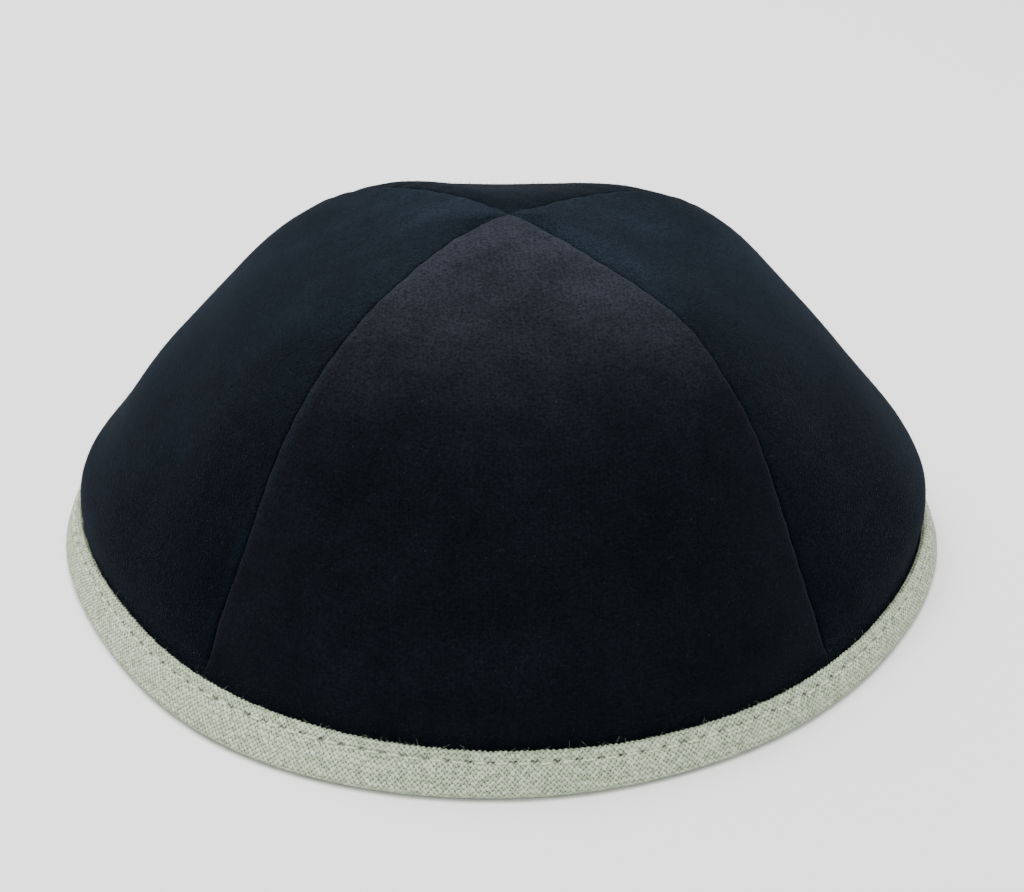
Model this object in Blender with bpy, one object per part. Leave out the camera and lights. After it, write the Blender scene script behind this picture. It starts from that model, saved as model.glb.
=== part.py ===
"""Velvet skullcap (kippah), four wedge panels seamed into a dome, with a linen binding.

Metres, +Z up, the front towards -Y. The folded rim stands on the plane z = 0, and the
origin is below the middle of the rim. An azimuth runs from the front towards +X. Every
form is worked out in a meridian plane, a half plane that stands on the crown's axis,
where a point has a reach from the axis and a height.
"""

from collections import namedtuple
from math import cos, pi, radians, sin, sqrt, tan

import bmesh
import bpy
from mathutils import Vector

# The crown, over the outside of the cloth
RIM_DIAMETER = 0.1708        # the rim's mean size, over the fold of the binding
CROWN_HEIGHT = 0.0680        # from the surface below the rim to the top

# The velvet panels, each a wedge between two seams
SEAM_AZIMUTHS = (-40.0, 47.0, 131.0, 227.0)
PANEL_NAMES = ("panel_front", "panel_right", "panel_back", "panel_left")
PANEL_WALL = 0.0022          # the velvet, its pile and the turned seam allowances
HEM_WALL = 0.0014            # the same layers pressed flat inside the binding
SEAM_GAP = 0.0003            # between the two faces of a seam
SEAM_DEPTH = 0.0012          # how deep a panel's edge rolls down into its seam
SEAM_ROLL = 0.0042           # how far from the seam the roll starts
SEAM_FADE = 0.0120           # the roll dies out over this length above the binding

# The linen binding, a bias strip folded round the rim
BINDING_HEIGHT = 0.0072      # up the outside and the inside of the rim
BINDING_WALL = 0.0010
BINDING_SOLE = 0.0016        # width of the flat that it stands on
BINDING_ROUND = 0.0015       # height of the rounded fold
BINDING_GAP = 0.0003         # between the binding and the panels

# The hand-shaped rim, a row for every 30 degrees from the front towards +X: its reach as
# a share of the mean radius, and the degrees that it leans inwards as it rises.
Station = namedtuple("Station", "reach lean")
RIM = (
    Station(1.013, 32),
    Station(0.988, 22),
    Station(0.979, 22),
    Station(1.010, 25),
    Station(0.992, 24),
    Station(0.996, 24),
    Station(1.006, 24),
    Station(0.998, 24),
    Station(0.995, 24),
    Station(1.016, 23),
    Station(1.000, 30),
    Station(1.028, 36),
)

# Dome lines along a seam and along the middle of a panel, from the top down. Reaches are
# shares of the velvet's reach where it enters the binding, and heights are shares of the
# dome's height above the binding.
Level = namedtuple("Level", "seam_reach seam_height crest_reach crest_height")
DOME = (
    Level(0.000, 1.000, 0.000, 1.000),
    Level(0.158, 0.991, 0.155, 0.972),
    Level(0.322, 0.957, 0.304, 0.911),
    Level(0.488, 0.893, 0.453, 0.835),
    Level(0.641, 0.770, 0.595, 0.728),
    Level(0.767, 0.590, 0.729, 0.572),
    Level(0.885, 0.316, 0.905, 0.324),
    Level(0.957, 0.160, 0.985, 0.160),
    Level(1.000, 0.000, 1.000, 0.000),
)

# Shallow dents where the soft cloth has sunk: middle and spread across the panel, -1 and 1
# being its seams, middle and spread in height as shares of the dome's height, and depth.
# A dent ends below the top, where the panel comes to its point.
Dent = namedtuple("Dent", "panel place width height tall depth")
DENTS = (
    Dent("panel_left", 0.05, 0.95, 0.45, 0.36, 0.0016),
    Dent("panel_back", 0.35, 0.60, 0.86, 0.13, 0.0008),
)

# Mesh fineness
PANEL_COLUMNS = 16
ROWS_A_LEVEL = 2
HEM_ROWS = 1
MERGE = 0.00001

# Worked out from the sizes above
DOME_ROWS = ROWS_A_LEVEL * (len(DOME) - 1)
RIM_LAYERS = 2 * (BINDING_WALL + BINDING_GAP) + HEM_WALL
SLOT_FLOOR = 1.2 * BINDING_WALL
HEM_EDGE = SLOT_FLOOR + BINDING_GAP
MEAN_LEAN = radians(sum(station.lean for station in RIM) / len(RIM))
Wedge = namedtuple("Wedge", "name middle half")


def wedges():
    """Each panel's name, middle azimuth and half angle."""
    ends = SEAM_AZIMUTHS[1:] + (SEAM_AZIMUTHS[0] + 360.0,)
    for name, start, end in zip(PANEL_NAMES, SEAM_AZIMUTHS, ends):
        yield Wedge(name, radians((start + end) / 2), radians((end - start) / 2))


def across(column):
    """A column's place across its panel, -1 and 1 at the seams, with more columns there."""
    return sin(column * pi / 2)


def smooth(before, start, end, after, part):
    """The smooth curve between start and end, numbers or points, and its direction."""
    bend = 2 * before - 5 * start + 4 * end - after
    turn = 3 * start - before - 3 * end + after
    value = 0.5 * (2 * start + (end - before) * part + bend * part ** 2 + turn * part ** 3)
    along = 0.5 * ((end - before) + 2 * bend * part + 3 * turn * part ** 2)
    return value, along


def rim_value(azimuth, column):
    """A column of the rim's table, read smoothly at an azimuth."""
    at = (azimuth % (2 * pi)) / (2 * pi) * len(RIM)
    near = [getattr(RIM[(int(at) + step) % len(RIM)], column) for step in (-1, 0, 1, 2)]
    return smooth(*near, at - int(at))[0]


def rim_reach(azimuth):
    """Reach of the rim over the binding's fold."""
    return RIM_DIAMETER / 2 * rim_value(azimuth, "reach")


def lean_at(azimuth):
    """Angle that the rim leans inwards."""
    return radians(rim_value(azimuth, "lean"))


def set_back(lean, height):
    """How far a leaning rim has moved inwards at a height."""
    return (height - BINDING_ROUND) * tan(lean)


def hem_reach(azimuth, height):
    """Reach of the velvet's outer side within the binding."""
    lean = lean_at(azimuth)
    layers = (BINDING_WALL + BINDING_GAP) / cos(lean)
    return rim_reach(azimuth) - set_back(lean, height) - layers


def dome_line(azimuth, place):
    """Points of the dome's outer side in one meridian plane, one for each level."""
    bow = cos(place * pi / 2)
    edge = hem_reach(azimuth, BINDING_HEIGHT)
    even = RIM_DIAMETER / 2 - set_back(MEAN_LEAN, BINDING_HEIGHT) - BINDING_WALL - BINDING_GAP
    rise = CROWN_HEIGHT - BINDING_HEIGHT
    points = []
    for level in DOME:
        share = level.seam_reach + (level.crest_reach - level.seam_reach) * bow
        height = level.seam_height + (level.crest_height - level.seam_height) * bow
        reach = share * (edge + (even - edge) * height)
        points.append(Vector((reach, BINDING_HEIGHT + height * rise)))
    return points


def smooth_line(points, lean, row):
    """Point and outward normal at a row of the smooth curve that runs on into the rim."""
    before = Vector((-points[1].x, points[1].y))
    run = (points[-1] - points[-2]).length
    after = points[-1] + run * Vector((sin(lean), -cos(lean)))
    line = [before, *points, after]
    at = row / ROWS_A_LEVEL
    index = min(int(at), len(points) - 2)
    point, along = smooth(*line[index:index + 4], at - index)
    along.normalize()
    return point, Vector((-along.y, along.x))


def seam_drop(reach, height, half, place):
    """How far the panel's edge has rolled down towards its seam."""
    from_seam = (1 - abs(place)) * half * reach
    roll = min(SEAM_ROLL, 0.5 * half * reach)
    if from_seam >= roll:
        return 0.0
    depth = SEAM_DEPTH * roll / SEAM_ROLL
    depth *= min(1.0, max(0.0, (height - BINDING_HEIGHT) / SEAM_FADE))
    return depth * (1 - sqrt(1 - (1 - from_seam / roll) ** 2))


def dented(wedge, place, height):
    """How far the cloth has sunk at a place of a panel."""
    share = (height - BINDING_HEIGHT) / (CROWN_HEIGHT - BINDING_HEIGHT)
    depth = 0.0
    for dent in DENTS:
        aside = abs(place - dent.place) / dent.width
        above = abs(share - dent.height) / dent.tall
        if dent.panel == wedge.name and aside < 1 and above < 1:
            depth += dent.depth * (cos(aside * pi / 2) * cos(above * pi / 2)) ** 2
    return depth


def panel_point(wedge, column, row, inside):
    """Place of one grid point of a panel, on its outer side or its inside."""
    place = across(column)
    azimuth = wedge.middle + place * wedge.half
    lean = lean_at(azimuth)
    if row <= DOME_ROWS:
        point, outward = smooth_line(dome_line(azimuth, place), lean, row)
        point = point - dented(wedge, place, point.y) * outward
        wall = HEM_WALL if row == DOME_ROWS else PANEL_WALL
        if inside:
            point = point - wall * outward
        else:
            point = point - seam_drop(point.x, point.y, wedge.half, place) * outward
    else:
        share = (row - DOME_ROWS) / HEM_ROWS
        height = BINDING_HEIGHT + (HEM_EDGE - BINDING_HEIGHT) * share
        point = Vector((hem_reach(azimuth, height), height))
        if inside:
            point.x -= HEM_WALL / cos(lean)
    return stand_off(point, azimuth, wedge)


def stand_off(point, azimuth, wedge):
    """The point in space, with the panel half a gap clear of both its seam planes."""
    slide = SEAM_GAP / 2 / sin(wedge.half)
    turn = azimuth - wedge.middle
    near_top = max(0.0, 1 - point.x / SEAM_ROLL)
    reach = max(point.x, 0.0) + slide * cos(turn) * near_top
    sideways = -slide * sin(turn)
    x = reach * sin(azimuth) + sideways * cos(azimuth)
    y = -reach * cos(azimuth) + sideways * sin(azimuth)
    return Vector((x, y, point.y))


def material(name, colour, roughness):
    """A cloth's plain finish."""
    cloth = bpy.data.materials.new(name)
    cloth.use_nodes = True
    shader = cloth.node_tree.nodes["Principled BSDF"]
    shader.inputs["Base Color"].default_value = (*colour, 1.0)
    shader.inputs["Roughness"].default_value = roughness
    shader.inputs["Metallic"].default_value = 0.0
    return cloth


def finish(name, form, cloth, collection, parent):
    """Turn a shaped bmesh into a named object with its own material."""
    bmesh.ops.remove_doubles(form, verts=form.verts, dist=MERGE)
    bmesh.ops.recalc_face_normals(form, faces=form.faces)
    mesh = bpy.data.meshes.new(name)
    form.to_mesh(mesh)
    form.free()
    mesh.materials.append(cloth)
    mesh.shade_smooth()
    mesh.set_sharp_from_angle(angle=radians(40))
    piece = bpy.data.objects.new(name, mesh)
    piece.parent = parent
    collection.objects.link(piece)
    return piece


def panel(wedge, cloth, collection, parent):
    """A wedge of velvet: a flat slab of grid, then each of its points set in place."""
    rows = DOME_ROWS + HEM_ROWS
    form = bmesh.new()
    bmesh.ops.create_grid(form, x_segments=PANEL_COLUMNS, y_segments=rows, size=1)
    grown = bmesh.ops.extrude_face_region(form, geom=form.faces[:])
    inner = {item for item in grown["geom"] if isinstance(item, bmesh.types.BMVert)}
    for vert in form.verts:
        row = (1 - vert.co.y) / 2 * rows
        vert.co = panel_point(wedge, vert.co.x, round(row), vert in inner)
    return finish(wedge.name, form, cloth, collection, parent)


def binding_section(lean):
    """The folded strip's section: set-back from the rim's reach, and height."""
    wall = BINDING_WALL / cos(lean)
    thickness = RIM_LAYERS / cos(lean)
    heel = (thickness - BINDING_SOLE) / 2
    curve = 1 - sqrt(0.5)
    top = set_back(lean, BINDING_HEIGHT)
    floor = set_back(lean, SLOT_FLOOR)
    return (
        (top, BINDING_HEIGHT),
        (0.0, BINDING_ROUND),
        (heel * curve, BINDING_ROUND * curve),
        (heel, 0.0),
        (heel + BINDING_SOLE, 0.0),
        (thickness - heel * curve, BINDING_ROUND * curve),
        (thickness, BINDING_ROUND),
        (top + thickness, BINDING_HEIGHT),
        (top + thickness - wall, BINDING_HEIGHT),
        (floor + thickness - wall, SLOT_FLOOR),
        (floor + wall, SLOT_FLOOR),
        (top + wall, BINDING_HEIGHT),
    )


def rim_stations():
    """Azimuth of every panel column round the rim, once each."""
    for wedge in wedges():
        for column in range(PANEL_COLUMNS):
            place = across(2 * column / PANEL_COLUMNS - 1)
            yield wedge.middle + place * wedge.half


def binding(name, cloth, collection, parent):
    """The strip: a flat grid rolled up along its section and bent round the rim."""
    stations = list(rim_stations())
    sections = [binding_section(lean_at(azimuth)) for azimuth in stations]
    corners = len(sections[0])
    form = bmesh.new()
    bmesh.ops.create_grid(form, x_segments=len(stations), y_segments=corners, size=1)
    for vert in form.verts:
        station = round((vert.co.x + 1) / 2 * len(stations)) % len(stations)
        corner = round((vert.co.y + 1) / 2 * corners) % corners
        azimuth = stations[station]
        back, height = sections[station][corner]
        reach = rim_reach(azimuth) - back
        vert.co = Vector((reach * sin(azimuth), -reach * cos(azimuth), height))
    return finish(name, form, cloth, collection, parent)


def rim_middle():
    """Middle of the rim's outline, which goes over the origin."""
    outline = [(rim_reach(azimuth), azimuth) for azimuth in rim_stations()]
    across_x = [reach * sin(azimuth) for reach, azimuth in outline]
    across_y = [-reach * cos(azimuth) for reach, azimuth in outline]
    return Vector(((min(across_x) + max(across_x)) / 2, (min(across_y) + max(across_y)) / 2, 0))


def build():
    """The whole skullcap."""
    for old in list(bpy.data.objects):
        bpy.data.objects.remove(old)
    collection = bpy.data.collections.new("kippah")
    bpy.context.scene.collection.children.link(collection)
    frame = bpy.data.objects.new("kippah", None)
    frame.location = -rim_middle()
    collection.objects.link(frame)
    velvet = material("velvet", (0.010, 0.013, 0.018), 0.85)
    linen = material("linen", (0.46, 0.50, 0.42), 0.80)
    for wedge in wedges():
        panel(wedge, velvet, collection, frame)
    binding("rim_binding", linen, collection, frame)


build()
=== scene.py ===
import random
from collections import namedtuple
from math import cos, exp, hypot, pi, radians, sin, sqrt, tan

import bmesh
import bpy
from mathutils import Matrix, Vector, noise


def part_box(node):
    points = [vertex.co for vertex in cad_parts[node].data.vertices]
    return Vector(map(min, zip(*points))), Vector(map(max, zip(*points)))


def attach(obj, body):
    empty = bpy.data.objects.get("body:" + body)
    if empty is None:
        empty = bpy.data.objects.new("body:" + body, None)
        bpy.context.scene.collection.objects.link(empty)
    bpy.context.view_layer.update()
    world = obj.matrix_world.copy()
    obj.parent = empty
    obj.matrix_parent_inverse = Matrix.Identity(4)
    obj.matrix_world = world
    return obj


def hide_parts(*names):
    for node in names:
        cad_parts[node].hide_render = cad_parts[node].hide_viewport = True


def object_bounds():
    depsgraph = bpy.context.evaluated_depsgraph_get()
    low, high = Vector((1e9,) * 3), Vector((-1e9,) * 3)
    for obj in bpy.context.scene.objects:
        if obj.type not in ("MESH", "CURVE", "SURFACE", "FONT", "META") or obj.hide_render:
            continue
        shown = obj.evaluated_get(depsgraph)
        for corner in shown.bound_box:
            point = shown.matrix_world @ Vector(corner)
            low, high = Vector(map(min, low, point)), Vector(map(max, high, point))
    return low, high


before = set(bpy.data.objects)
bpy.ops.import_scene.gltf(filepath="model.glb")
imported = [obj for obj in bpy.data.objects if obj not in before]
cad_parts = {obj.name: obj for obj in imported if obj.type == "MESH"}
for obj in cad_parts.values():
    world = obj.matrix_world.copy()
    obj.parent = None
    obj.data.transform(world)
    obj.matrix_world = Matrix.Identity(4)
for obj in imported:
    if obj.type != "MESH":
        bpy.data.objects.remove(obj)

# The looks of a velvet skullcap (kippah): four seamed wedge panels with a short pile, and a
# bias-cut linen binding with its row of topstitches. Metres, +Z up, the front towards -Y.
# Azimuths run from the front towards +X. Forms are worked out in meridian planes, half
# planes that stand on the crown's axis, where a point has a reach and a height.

CAD_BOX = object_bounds()
MM = 0.001

# The rim and the dome's lines, as the solids have them
SEAM_AZIMUTHS = (-40.0, 47.0, 131.0, 227.0)
Station = namedtuple("Station", "reach lean")
RIM = (
    Station(1.013, 32),
    Station(0.988, 22),
    Station(0.979, 22),
    Station(1.010, 25),
    Station(0.992, 24),
    Station(0.996, 24),
    Station(1.006, 24),
    Station(0.998, 24),
    Station(0.995, 24),
    Station(1.016, 23),
    Station(1.000, 30),
    Station(1.028, 36),
)
Level = namedtuple("Level", "seam_reach seam_height crest_reach crest_height")
DOME = (
    Level(0.000, 1.000, 0.000, 1.000),
    Level(0.158, 0.991, 0.155, 0.972),
    Level(0.322, 0.957, 0.304, 0.911),
    Level(0.488, 0.893, 0.453, 0.835),
    Level(0.641, 0.770, 0.595, 0.728),
    Level(0.767, 0.590, 0.729, 0.572),
    Level(0.885, 0.316, 0.905, 0.324),
    Level(0.957, 0.160, 0.985, 0.160),
    Level(1.000, 0.000, 1.000, 0.000),
)
Dent = namedtuple("Dent", "panel place width height tall depth")
# A dent of negative depth is a swelling
DENTS = (
    Dent("panel_left", 0.05, 0.95, 0.45, 0.36, 1.6 * MM),
    Dent("panel_back", 0.35, 0.60, 0.86, 0.13, 0.8 * MM),
    Dent("panel_left", 0.62, 0.30, 0.34, 0.34, 0.5 * MM),
    Dent("panel_left", -0.20, 0.80, 0.22, 0.20, 1.8 * MM),
    Dent("panel_left", 0.00, 1.00, 0.07, 0.12, -0.9 * MM),
    Dent("panel_left", -0.75, 0.50, 0.78, 0.20, -0.5 * MM),
    Dent("panel_right", -0.60, 0.34, 0.40, 0.40, 0.4 * MM),
    Dent("panel_right", 0.20, 0.60, 0.32, 0.23, 0.8 * MM),
    Dent("panel_right", 0.00, 0.95, 0.08, 0.12, -0.8 * MM),
    Dent("panel_right", 0.75, 0.50, 0.80, 0.20, -0.8 * MM),
    Dent("panel_back", 0.00, 0.80, 0.85, 0.14, 0.6 * MM),
    Dent("panel_front", 0.45, 0.40, 0.30, 0.30, 0.5 * MM),
)
PaintedStroke = namedtuple("PaintedStroke", "panel place height width tall tone")
# Painted light and shade on the nap: patches painted lighter or darker than its usual tone of 1,
# where the light falls on each panel and where it lies in shade
PAINTED_LIGHT_STROKES = (
    PaintedStroke("panel_front", 0.00, 0.85, 1.40, 0.10, -0.06),
    PaintedStroke("panel_front", -0.55, 0.08, 0.80, 0.30, 0.35),
    PaintedStroke("panel_front", 0.15, 0.40, 0.40, 0.25, -0.14),
    PaintedStroke("panel_front", 0.80, 0.03, 0.35, 0.14, 0.25),
    PaintedStroke("panel_front", -1.00, 0.64, 0.10, 0.36, 0.75),
    PaintedStroke("panel_front", 1.00, 0.36, 0.08, 0.24, 0.40),
    PaintedStroke("panel_left", 1.00, 0.36, 0.05, 0.40, 0.45),
    PaintedStroke("panel_front", 0.75, 0.90, 0.50, 0.10, 0.16),
    PaintedStroke("panel_right", -0.50, 0.12, 0.60, 0.20, -0.40),
    PaintedStroke("panel_right", 0.40, 0.68, 0.65, 0.38, 0.70),
    PaintedStroke("panel_right", -0.60, 0.68, 0.35, 0.18, -0.25),
    PaintedStroke("panel_right", -0.70, 0.96, 0.50, 0.10, 0.45),
    PaintedStroke("panel_left", -0.40, 0.55, 0.60, 0.45, 0.90),
    PaintedStroke("panel_left", 0.76, 0.44, 0.24, 0.30, -0.42),
    PaintedStroke("panel_left", 0.46, 0.44, 0.17, 0.28, 0.25),
    PaintedStroke("panel_left", -0.50, 0.97, 0.80, 0.12, 0.45),
    PaintedStroke("panel_left", 0.40, 0.06, 0.40, 0.14, -0.30),
)
# How far aside each seam was sewn, by its reach from the crown's middle
Drift = namedtuple("Drift", "reach aside")
SEAM_DRIFTS = (
    (-40.0, (Drift(0.0, 0.0), Drift(3 * MM, -1.2 * MM), Drift(6 * MM, -2.2 * MM),
             Drift(12 * MM, -2.7 * MM), Drift(20 * MM, -2.3 * MM), Drift(30 * MM, -1.7 * MM),
             Drift(47 * MM, -1.1 * MM), Drift(72 * MM, -0.4 * MM), Drift(80 * MM, 0.0))),
    (47.0, (Drift(0.0, 0.0), Drift(3 * MM, 1.0 * MM), Drift(6 * MM, 1.6 * MM),
            Drift(12 * MM, 1.9 * MM), Drift(20 * MM, 1.8 * MM), Drift(30 * MM, 2.3 * MM),
            Drift(42 * MM, 2.7 * MM), Drift(54 * MM, 1.3 * MM), Drift(68 * MM, 0.6 * MM),
            Drift(78 * MM, -0.6 * MM))),
    (131.0, (Drift(0.0, 0.0), Drift(5 * MM, 1.0 * MM), Drift(14 * MM, 2.1 * MM),
             Drift(28 * MM, 2.1 * MM), Drift(50 * MM, 0.0))),
    (227.0, (Drift(0.0, 0.0), Drift(4 * MM, -1.2 * MM), Drift(10 * MM, -2.7 * MM),
             Drift(24 * MM, -2.6 * MM), Drift(48 * MM, 0.0))),
)
DRIFT_SPREAD = 42.0          # degrees to each side over which the cloth follows its seam
DRIFT_FROM = 1 * MM          # nearer to the crown's middle nothing drifts
DRIFT_LEAST = 3 * MM         # least reach by which a drift is turned into an angle
# How much higher the binding's upper edge is sewn, every 30 degrees, in shares of its height
EDGE_RISE = (0.07, 0.02, 0.01, 0.00, 0.00, 0.01, 0.00, 0.01, 0.02, 0.06, 0.10, 0.12)

# Velvet panels
PANEL_WALL = 2.2 * MM
HEM_WALL = 1.4 * MM          # where the binding presses it
HEM_WALL_RISE = 6 * MM       # height over which it grows to the full wall
ALLOWANCE = 8.0 * MM         # turned edge of a panel, pressed flat on the inside
ALLOWANCE_EDGE = 1.2 * MM    # width of the step at the end of that turned edge
ALLOWANCE_STEP = 0.35 * MM   # how much it thickens the inside
ALLOWANCE_FOOT = (1 * MM, 5 * MM)    # it sets in between these heights over the binding
ALLOWANCE_HEAD = (1 * MM, 6 * MM)    # and between these reaches from the crown's middle
SEAM_PRESS = 0.02 * MM       # how far two sewn edges press into each other
Roll = namedtuple("Roll", "width depth")
TOP_ROLL = Roll(2.4 * MM, 1.00 * MM)     # how the upper panel's edge rolls down into the seam
LOW_ROLL = Roll(1.0 * MM, 0.32 * MM)     # and how the lower panel's edge does
PILLOW_WIDTH = 17 * MM       # each panel swells between its seams, and falls to them
PILLOW_DEPTH = 1.5 * MM
PILLOW_MEAN = 0.65           # share of that swelling which the dome's lines already have
PILLOW_RISE = 12 * MM        # height over the binding at which it is full
LAP_LIFT = 0.20 * MM         # the upper panel's edge stands proud of the seam
LAP_SINK = 0.18 * MM         # the lower panel's edge lies below it
LAP_REACH = 3.2 * MM
CREST_HIGHLIGHT = 0.08           # painted highlight: how much lighter the nap is painted over the upper panel's roll
CREST_REACH = 1.6 * MM
EDGE_HIGHLIGHT = 0.10            # and a wider band of painted highlight beside it
PUCKER = 0.09 * MM           # small waves that the seam's stitches draw up
PUCKER_PITCH = 5.5 * MM
PUCKER_REACH = 1.4 * LAP_REACH
PUCKER_WANDER = 3            # radians by which those waves come early or late
PUCKER_WANDER_RATE = 90      # how often that changes, a metre
APEX_CALM = 9.0 * MM         # the seams' relief fades towards the crown's middle
SWELL = 0.40 * MM            # slow unevenness of the soft cloth
SWELL_SIZE = 34 * MM
FINE_SWELL = 0.3 * SWELL     # a finer one on top of it
FINE_SWELL_SIZE = 0.35 * SWELL_SIZE
SWELL_HEAD = 12 * MM         # both fade towards the crown's middle
SWELL_FOOT = 8 * MM          # and towards the binding
HEM_PUFF = 0.15 * MM         # the pile swells where it leaves the binding
HEM_PUFF_RISE = 3.2 * MM
HEM_PUFF_END = 6             # where that swelling ends, in its own rises
HEM_GATHER = 0.6             # how uneven it is
HEM_GATHER_SIZE = 7 * MM
HEM_CALM = 1.2 * MM          # height over which the binding still holds the cloth smooth
HEM_FREE = 2 * MM            # further height over which the cloth comes free

# The velvet's finish, with one colour for the painted glints of single tufts and for lint
Velvet = namedtuple("Velvet", "deep lit crown crown_start speck sheen_tint sheen fluff")
# The front panel's nap is a warm grey black, and the side and back panels' is a bluer one. Each
# finish has a painted crown light, paler towards the top where the overhead light falls, strongest
# on the front panel.
FRONT_VELVET = Velvet((0.0015, 0.0023, 0.0036), (0.0026, 0.0038, 0.0058),
                      (0.0180, 0.0204, 0.0278), 0.60, (0.07, 0.08, 0.10),
                      (0.56, 0.70, 1.0), 0.034, 0.15 * MM)
SIDE_VELVET = Velvet((0.0009, 0.0020, 0.0034), (0.0019, 0.0037, 0.0061),
                     (0.0066, 0.0100, 0.0148), 0.45, (0.09, 0.11, 0.13),
                     (0.37, 0.62, 1.0), 0.035, 0.38 * MM)
BACK_VELVET = Velvet((0.0012, 0.0023, 0.0036), (0.0024, 0.0042, 0.0064),
                     (0.0036, 0.0060, 0.0094), 0.60, (0.08, 0.10, 0.12),
                     (0.40, 0.64, 1.0), 0.030, 0.50 * MM)
SHEEN_ROUGHNESS = 0.35
TUFT_SIZE = 0.40 * MM
PILE_ROW = 0.80 * MM         # the ground weave that the pile stands on in rows
NAP_LEAN = 0.10              # the nap leans up towards the crown
BRUSHED = 38                 # large patches of brushed nap, a metre
RUFFLED = 150                # small patches of ruffled nap, a metre
PATCH_RANGE = (0.36, 0.64)
CROWN_LIGHT_FULL = 0.98            # share of the height where the painted crown light is full
CROWN_LIGHT_CURVE = 2.4
CROWN_LIGHT_LEAST = 0.55           # the painted crown light's share in its darkest patches
TUFT_TONES = (0.55, 1.45)    # tones of the darkest and the lightest tufts
GLINT_SHOW = 0.15
LINT_SHOW = 0.05
PILE_BUMP = 0.8
# the woven back is painted darker in the weave's hollows, as shade, with its grain's own tone
UNDERSIDE_DARK = (0.006, 0.008, 0.011)
UNDERSIDE_LIGHT = (0.026, 0.031, 0.040)
UNDERSIDE_PITCH = 0.45 * MM
UNDERSIDE_BUMP = 0.12 * MM

# Single hairs of the pile
LOOSE_HAIRS = 30000
HAIR_WIDTH = 0.055 * MM
HAIR_LENGTH = (0.35 * MM, 0.95 * MM)
HAIR_RISE = 0.4              # the hairs lean up towards the crown
HAIR_STAND = (0.15, 1.1)     # from nearly flat to steep
# Painted light and shade: the same hairs painted lighter on the panels where more light falls,
# lightest on the left
HAIR_PAINTED_LIGHT = {"velvet_front": 0.8, "velvet_right": 1.2, "velvet_back": 1.4, "velvet_left": 2.0}
OUTSIDE_SHARE = 0.3          # how squarely a face has to look outwards to grow hairs
HEM_HAIRS = 5.0              # how much thicker they stand just above the binding
HEM_HAIR_BAND = 3.5 * MM
HEM_HAIR_TONE = 1.7          # and how much lighter
HAIR_DARK = (0.0016, 0.0030, 0.0050)
HAIR_LIGHT = (0.0115, 0.0165, 0.0240)
HAIR_TONE_RANGE = (0.40, 0.66)

# Linen binding
BINDING_WALL = 1.0 * MM
BINDING_SOLE = 1.6 * MM
BINDING_ROUND = 1.5 * MM
BINDING_GAP = 0.3 * MM       # between the binding and the velvet within it
LIP_GAP = 0.05 * MM          # between the binding's upper edge and the velvet
EDGE_WAVE = 0.14 * MM        # unevenness of the binding's upper edge
EDGE_SLOW = 5.0              # how often that edge rises and falls, in waves a radius
EDGE_QUICK = 17.0
EDGE_QUICK_SHARE = 0.6
EDGE_THREADS = 0.90          # share of it that follows the cloth's single threads
EDGE_THREAD_WANDER = 4
EDGE_DRAWN = 0.5             # how far the needle's holes draw it down
FACE_SWELL = 0.25 * MM       # the strip's face is slightly rounded
FACE_UNEVEN = 0.08 * MM
FACE_UNEVEN_SIZE = 5 * MM
FACE_CROWDING = 1.15         # the face has more rows near its upper edge

# Topstitches
STITCH_COUNT = 140
STITCH_SHARE = 0.70          # length of thread in each stitch, its dipping ends too
STITCH_THICKNESS = 0.36 * MM
STITCH_DROP = 2.1 * MM       # from the binding's upper edge to the stitch line
STITCH_SINK = 0.30 * MM      # how deep the stitches pull the linen in
STITCH_TROUGH = 0.70 * MM    # half width of the trough that they make
STITCH_TILT = 0.05           # each stitch lies a little askew
STITCH_TILT_SHAKE = 0.04
STITCH_SHAKE = 0.08          # unevenness of the stitch line, in millimetres
STITCH_LENGTHS = (0.92, 1.10)
STITCH_STAND = 0.02 * MM     # its middle over the face, and how far its ends dive in
STITCH_DIVE = 0.42 * MM
STITCH_DIVE_CURVE = 2.4
STITCH_BLUNTNESS = 3.2
STITCH_HOLE = (1.35 * MM, 0.38 * MM)   # length and height of the painted shade in the needle's hole between two
STITCH_HOLE_SHADE = 0.7
STITCH_HOLE_DEPTH = 0.30 * MM

# Stray linen fibres
STRAY_FIBRES = 560
STRAY_WIDTH = 0.030 * MM
STRAY_LENGTHS = (0.35, 0.5, 0.7, 1.3)  # millimetres
STRAY_SPREAD = (0.7, 1.3)
STRAY_TIP = 0.4              # width of the tip as a share of the root's
STRAY_ROOT = 0.15 * MM       # how far under the upper edge they grow

# The linen's finish
THREAD_PITCH = 0.69 * MM
WEAVE_HALF = (0.36, 0.55)    # half a thread's width, thin and thick, in thread pitches
WEAVE_CRIMP = 0.36           # share of the weave's height that is its rise and fall
WEAVE_WANDERS = ((0.09, 1.5), (0.55, 0.50))    # rate and size of the threads' slow and quick drift
SLUB_RATE = 0.55             # how quickly a thread grows thicker and thinner, in its pitches
WEAVE_BUMP = 0.30 * MM
LINEN_LIGHT = (0.65, 0.72, 0.54)
LINEN_DARK = (0.29, 0.36, 0.23)
# painted shade in the gaps between the threads
LINEN_GAP_SHADE = (0.05, 0.09, 0.04)
LINEN_HOLE_SHADE = (0.04, 0.055, 0.035)
LINEN_SHADES = (0.12, 0.78)
LINEN_VALLEY = (0.22, 0.80)  # heights of the weave between its gaps and its threads
LINEN_CLOUDS = 45            # slow darker clouds, a metre
LINEN_CLOUD_SHOW = 0.15
THREAD_LIGHT = (0.70, 0.75, 0.58)
THREAD_DARK = (0.38, 0.43, 0.29)
THREAD_TWISTS = 620          # turns of the sewing thread's twist, a metre
FUZZ_BUMP = 0.06 * MM

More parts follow.
